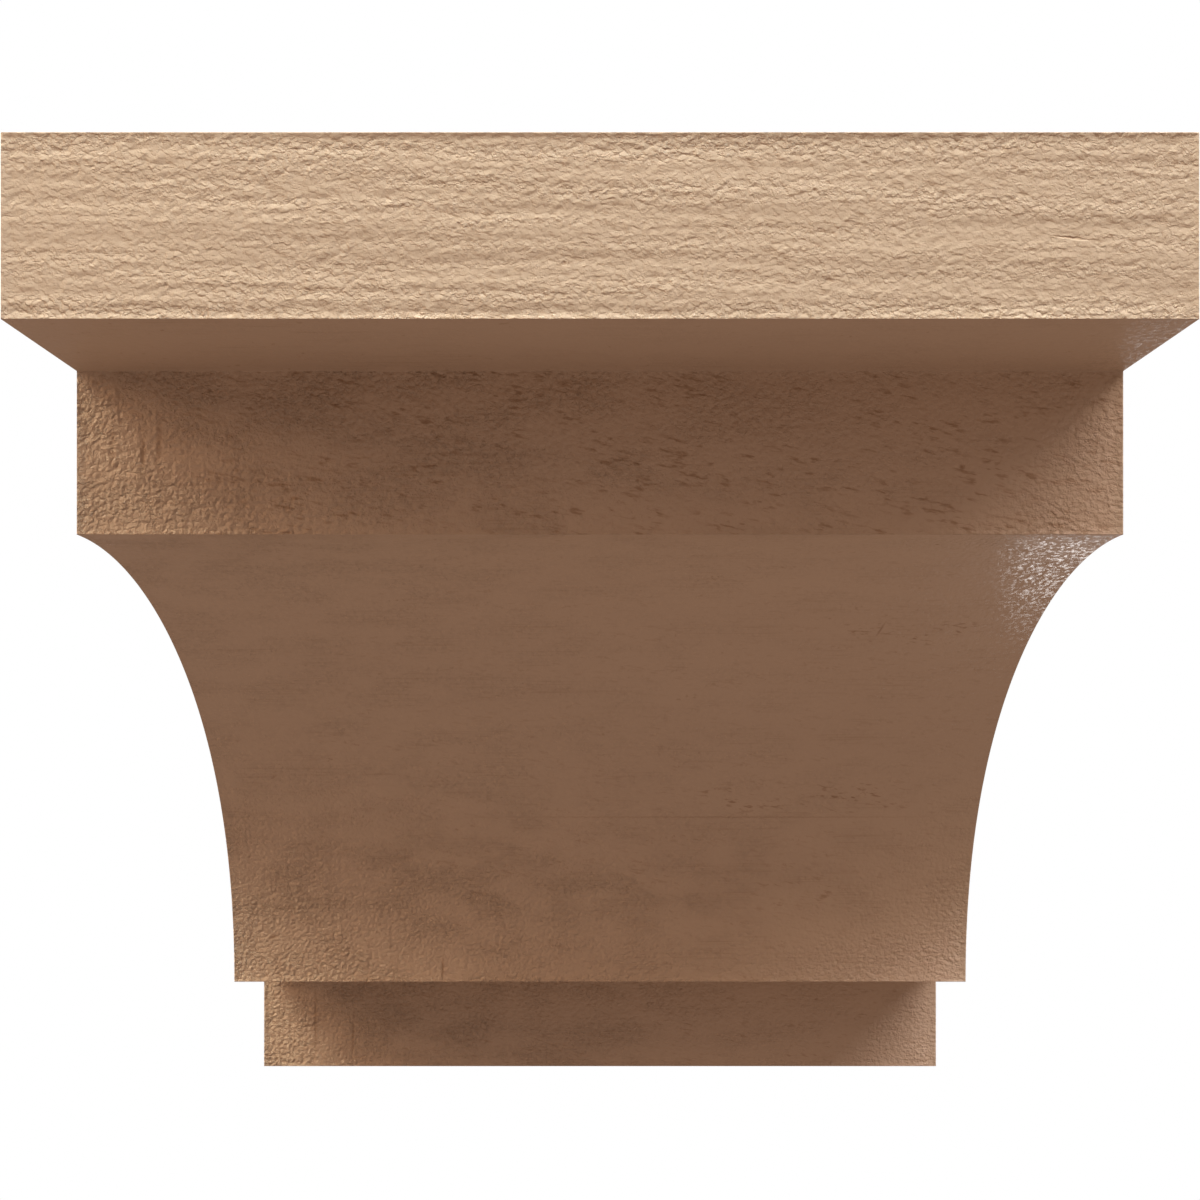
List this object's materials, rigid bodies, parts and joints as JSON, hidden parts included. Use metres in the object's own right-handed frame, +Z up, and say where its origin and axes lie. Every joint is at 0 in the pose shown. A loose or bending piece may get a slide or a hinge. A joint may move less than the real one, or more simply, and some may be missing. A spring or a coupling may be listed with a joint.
{
  "type": "corbel",
  "caption": "Moulded faux-timber wall corbel: thick top slab over a recessed block, a deep plain cove and a small set-back foot, one profile run straight across its width.",
  "frame": {"origin": "centre of the flat back face, the face that sits against the wall", "axes": "+Y into the wall, so the corbel stands out towards -Y; +Z up; X along the width"},
  "size_m": [0.3048, 0.3048, 0.3048],
  "materials": {
    "tan_primer": "rigid polyurethane moulding with a rough-sawn timber texture, primed in one even tan with a low sheen"
  },
  "bodies": {
    "root": {"corbel": "tan_primer"}
  },
  "joints": []
}
